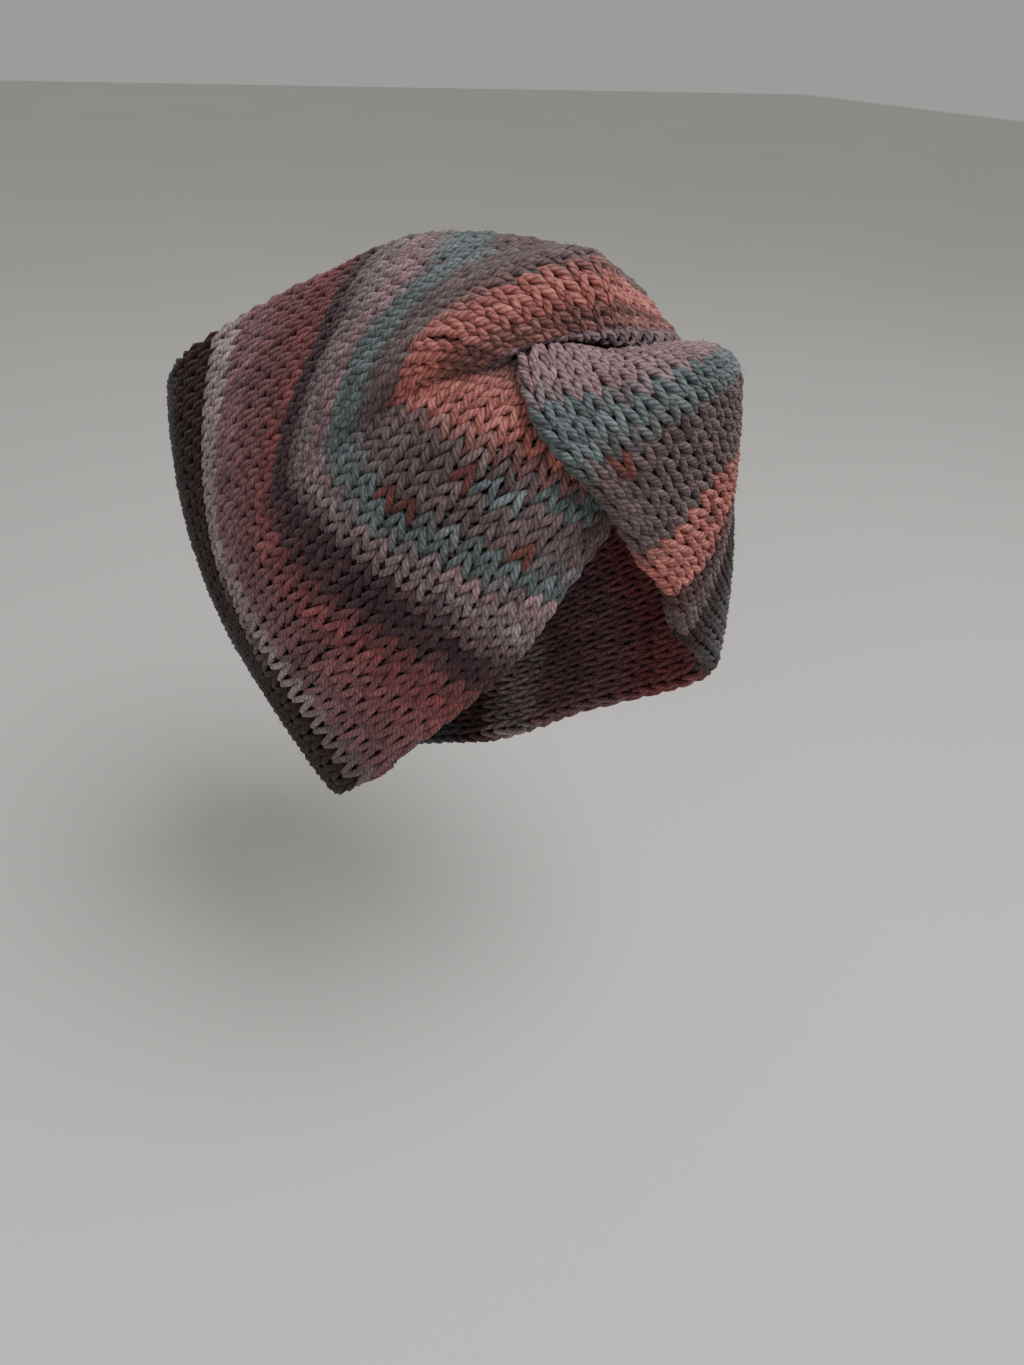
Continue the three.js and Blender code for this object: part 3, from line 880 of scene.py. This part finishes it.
class EarWarmerWool(bpy.types.PropertyGroup):
    """Colours of the yarn"""

    umber: shade_property("Umber", (0.075, 0.036, 0.036))
    clay: shade_property("Clay", (0.17, 0.075, 0.068))
    coral: shade_property("Coral", (0.33, 0.115, 0.1))
    taupe: shade_property("Taupe", (0.110, 0.075, 0.076))
    teal: shade_property("Teal", (0.100, 0.118, 0.122))
    mauve: shade_property("Mauve", (0.22, 0.135, 0.145))
    pale: shade_property("Pale mauve", (0.20, 0.155, 0.160))
    lilac: shade_property("Lilac", (0.15, 0.1, 0.11))
    plum: shade_property("Plum", (0.055, 0.024, 0.030))
    rose: shade_property("Rose", (0.19, 0.055, 0.058))
    dusty: shade_property("Dusty rose", (0.17, 0.068, 0.075))
    pink: shade_property("Pink", (0.18, 0.09, 0.105))
    cream: shade_property("Cream", (0.27, 0.21, 0.2))
    bark: shade_property("Bark", (0.023, 0.006, 0.005))
    slate: shade_property("Slate", (0.050, 0.047, 0.054))
    rust: shade_property("Rust", (0.12, 0.04, 0.034))


class EarWarmerStage(bpy.types.PropertyGroup):
    """Floor and lights"""

    floor_drop: length_property("Floor drop", "Room under the lowest edge", 0.12)
    key_power: power_property("Key light", "Power of the soft light above", 16.0)
    fill_power: power_property("Fill light", "Power of the side light", 2.0)
    room_light: number_property("Room light", "Strength of the light from all round", 0.38)


def wool_colours(wool):
    """Colours in the order of SHADES."""
    return np.array([tuple(getattr(wool, name)) for name in SHADES])


def wool_group():
    """The shared node group, made once."""
    return bpy.data.node_groups.get("plied_yarn") or plied_yarn_group()


# ---------------------------------------------------------------------------------------------------
# Operators.


def lay_rounds(name, rounds, material):
    """One piece from rings of points, with its own shade and a map that follows the yarn."""
    surface, along, colour = rounds
    number, count, sides, _ = surface.shape
    faces, corner_r, corner_i, corner_s = tube_faces(number, count, sides)
    full = np.concatenate([np.zeros((number, 1)), along], axis=1)
    maps = np.stack([full[corner_r, corner_i], corner_s / sides], -1)
    vertices = surface.reshape(-1, 3)
    if faces_inwards(vertices, faces[: count * sides]):
        faces, maps = faces[:, ::-1], maps[:, ::-1]
    shade = np.repeat(colour.reshape(-1, 3), sides, axis=0)
    piece = put_mesh(name, vertices, faces, material, maps.reshape(-1, 2), shade)
    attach(piece, "root")
    return piece


def plied_wool():
    """Material of the knitting and of the sewing."""
    return bpy.data.materials.get("plied_wool") or wool_material(
        "plied_wool", wool_group(), strands=4, twist=3.5, heather=2.6, depth=0.00035, sheen=0.1
    )


def fibre_wool():
    """Material of the loose fibres."""
    return bpy.data.materials.get("fibre_wool") or wool_material(
        "fibre_wool", wool_group(), strands=1, twist=1.0, heather=0.8, depth=0.0001, sheen=0.14
    )


def knit_side(side, name, settings, wool):
    """One strip's rounds as three pieces, and the fibres that stand off them."""
    half_width = settings.band_width / MM / 2
    table, _ = row_table(side, settings, half_width)
    tables = table, column_table(table, side, half_width)
    colours = wool_colours(wool)
    thirds = [rows_of(side, settings)[1] * k // 3 for k in range(4)]
    pieces, bloom = [], []
    for part, first, last in zip(("twist", "side", "back"), thirds[:-1], thirds[1:]):
        seed = first + SEED_STEP * (side + 2)
        rounds = knit_rounds(side, first, last, settings, tables, colours, seed)
        pieces.append(lay_rounds(name + "_" + part + "_knit", rounds, plied_wool()))
        bloom.append(loose_fibres(rounds, settings.fibre_share, seed))
    sizes = np.cumsum([0] + [len(vertices) for vertices, _, _ in bloom[:-1]])
    faces = np.concatenate([part[1] + start for part, start in zip(bloom, sizes)])
    vertices = np.concatenate([part[0] for part in bloom])
    if faces_inwards(vertices, faces):
        faces = faces[:, ::-1]
    maps = np.zeros((faces.size, 2))
    shade = np.concatenate([part[2] for part in bloom])
    piece = put_mesh(name + "_loose_fibres", vertices, faces, fibre_wool(), maps, shade)
    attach(piece, "root")
    return pieces + [piece]


class EARWARMER_OT_line_band(bpy.types.Operator):
    """Make the closed inner wall that shows between the loops, coloured as the yarn darkened into painted
    shade
    """

    bl_idname = "earwarmer.line_band"
    bl_label = "Inner wall"

    def execute(self, context):
        settings = context.scene.earwarmer_knit
        half_width = settings.band_width / MM / 2
        # painted shade: the wall takes the yarn's colours darkened, for the shade in the gaps between the
        # loops
        colours = wool_colours(context.scene.earwarmer_wool) * WALL_PAINTED_SHADE
        around, along = WALL_AROUND, WALL_ALONG
        points, shades, faces = [], [], []
        area = 0.0
        for number, side in enumerate((RIGHT, LEFT)):
            table, length = row_table(side, settings, half_width)
            last_row = rows_of(side, settings)[1]
            area += length * MM * settings.band_width
            row = np.linspace(0, last_row, along)
            turn = (np.arange(around) + 0.5) / around
            tables = table, column_table(table, side, half_width)
            lines, rings = np.meshgrid(row, turn, indexing="ij")
            edge = half_width - WALL_INSET
            grid, _ = place_on_tube(lines, rings, 0.0, side, tables, edge, WALL_RADIUS)
            stitch = (turn * settings.columns_round).astype(int)
            chart = stitch_colours(side, last_row, settings.columns_round, tables[1], colours)
            rows = np.clip(row.astype(int), 0, last_row - 1)
            shades.append(chart[rows[:, None], stitch[None, :]].reshape(-1, 3))
            start, here = np.meshgrid(np.arange(along - 1) * around, np.arange(around), indexing="ij")
            there = (here + 1) % around
            corners = [start + here, start + there, start + around + there, start + around + here]
            wall = np.stack(corners, -1).reshape(-1, 4)
            k = np.arange(around // 2 - 1)
            cap = np.stack([k, around - 1 - k, around - 2 - k, k + 1], -1)
            wall = np.concatenate([wall, cap, cap[:, ::-1] + (along - 1) * around])
            vertices = grid.reshape(-1, 3)
            if faces_inwards(vertices, wall):
                wall = wall[:, ::-1]
            faces.append(wall + number * along * around)
            points.append(vertices)
        material = wool_material(
            "shaded_wool", wool_group(), strands=3, twist=1.0, heather=0.5, depth=0.0003, sheen=0.1
        )
        faces, points, shades = (np.concatenate(parts) for parts in (faces, points, shades))
        maps = np.zeros((faces.size, 2))
        piece = put_mesh("inner_wall", points, faces, material, maps, shades)
        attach(piece, "root")
        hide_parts("band")
        context.scene["earwarmer_cloth_length"] = area / settings.band_width
        return {"FINISHED"}


class EARWARMER_OT_knit_band(bpy.types.Operator):
    """Knit the rounds of yarn on both strips"""

    bl_idname = "earwarmer.knit_band"
    bl_label = "Rounds of yarn"

    def execute(self, context):
        settings = context.scene.earwarmer_knit
        wool = context.scene.earwarmer_wool
        wall = bpy.data.objects.get("inner_wall")
        if wall is None:
            raise RuntimeError("Make the inner wall first")
        pieces = knit_side(RIGHT, "right", settings, wool) + knit_side(LEFT, "left", settings, wool)
        return {"FINISHED"}


class EARWARMER_OT_sew_twist(bpy.types.Operator):
    """Sew the folded ends together along the seam"""

    bl_idname = "earwarmer.sew_twist"
    bl_label = "Sewing of the twist"

    def execute(self, context):
        settings = context.scene.earwarmer_knit
        tone = np.array(tuple(context.scene.earwarmer_wool.taupe))
        lay_rounds("twist_sewing", sewing_loops(settings, tone), plied_wool())
        return {"FINISHED"}


class EARWARMER_OT_set_stage(bpy.types.Operator):
    """Set the floor, the lights and the camera"""

    bl_idname = "earwarmer.set_stage"
    bl_label = "Stage"

    def execute(self, context):
        stage = context.scene.earwarmer_stage
        floor_z = float(BAND_LOW[2]) - stage.floor_drop
        corners = np.array([[-1, -1, 0], [1, -1, 0], [1, 1, 0], [-1, 1, 0]]) * FLOOR_REACH / MM
        corners[:, 2] = floor_z / MM
        floor = put_mesh("floor", corners, np.array([[0, 1, 2, 3]]), backdrop_material())
        world = bpy.data.worlds.new("room")
        world.use_nodes = True
        world.node_tree.nodes["Background"].inputs["Color"].default_value = (1.0, 0.985, 0.96, 1)
        world.node_tree.nodes["Background"].inputs["Strength"].default_value = stage.room_light
        context.scene.world = world
        lamps = (
            ("key_light", (0.25, -0.55, 1.15), 0.9, stage.key_power),
            ("fill_light", (-0.9, -0.7, 0.5), 0.8, stage.fill_power),
        )
        for name, place, width, power in lamps:
            lamp = bpy.data.lights.new(name, "AREA")
            lamp.shape = "DISK"
            lamp.size = width
            lamp.energy = power
            holder = bpy.data.objects.new(name, lamp)
            holder.location = place
            holder.rotation_euler = (-Vector(place)).to_track_quat("-Z", "Y").to_euler()
            context.collection.objects.link(holder)
        camera = bpy.data.cameras.new("camera")
        camera.lens = CAMERA_LENS
        camera.clip_start = 0.01
        eye = Vector(CAMERA_PLACE)
        aim = Vector(CAMERA_AIM)
        holder = bpy.data.objects.new("camera", camera)
        holder.location = eye
        upright = (aim - eye).to_track_quat("-Z", "Y").to_matrix().to_4x4()
        roll = Matrix.Rotation(math.radians(CAMERA_ROLL), 4, "Z")
        holder.matrix_world = Matrix.Translation(eye) @ upright @ roll
        context.collection.objects.link(holder)
        context.scene.camera = holder
        return {"FINISHED"}


class EARWARMER_PT_panel(bpy.types.Panel):
    """Steps and sizes of the ear warmer"""

    bl_label = "Ear warmer"
    bl_idname = "EARWARMER_PT_panel"
    bl_space_type = "VIEW_3D"
    bl_region_type = "UI"
    bl_category = "Ear warmer"

    def draw(self, context):
        for step in STEPS:
            self.layout.operator(step.bl_idname)
        for name, group in GROUPS:
            box = self.layout.box()
            for value in group.__annotations__:
                box.prop(getattr(context.scene, name), value)


STEPS = (EARWARMER_OT_set_stage, EARWARMER_OT_line_band, EARWARMER_OT_knit_band, EARWARMER_OT_sew_twist)
GROUPS = (
    ("earwarmer_knit", EarWarmerKnit),
    ("earwarmer_wool", EarWarmerWool),
    ("earwarmer_stage", EarWarmerStage),
)


def register():
    """Adds the settings, the steps and the panel to Blender."""
    for name, group in GROUPS:
        bpy.utils.register_class(group)
        setattr(bpy.types.Scene, name, PointerProperty(type=group))
    for step in STEPS:
        bpy.utils.register_class(step)
    bpy.utils.register_class(EARWARMER_PT_panel)


def unregister():
    """Takes them out again."""
    bpy.utils.unregister_class(EARWARMER_PT_panel)
    for step in reversed(STEPS):
        bpy.utils.unregister_class(step)
    for name, group in reversed(GROUPS):
        delattr(bpy.types.Scene, name)
        bpy.utils.unregister_class(group)


def main():
    """Makes the whole scene."""
    register()
    bpy.ops.earwarmer.set_stage()
    bpy.ops.earwarmer.line_band()
    bpy.ops.earwarmer.knit_band()
    bpy.ops.earwarmer.sew_twist()


if __name__ == "__main__":
    main()
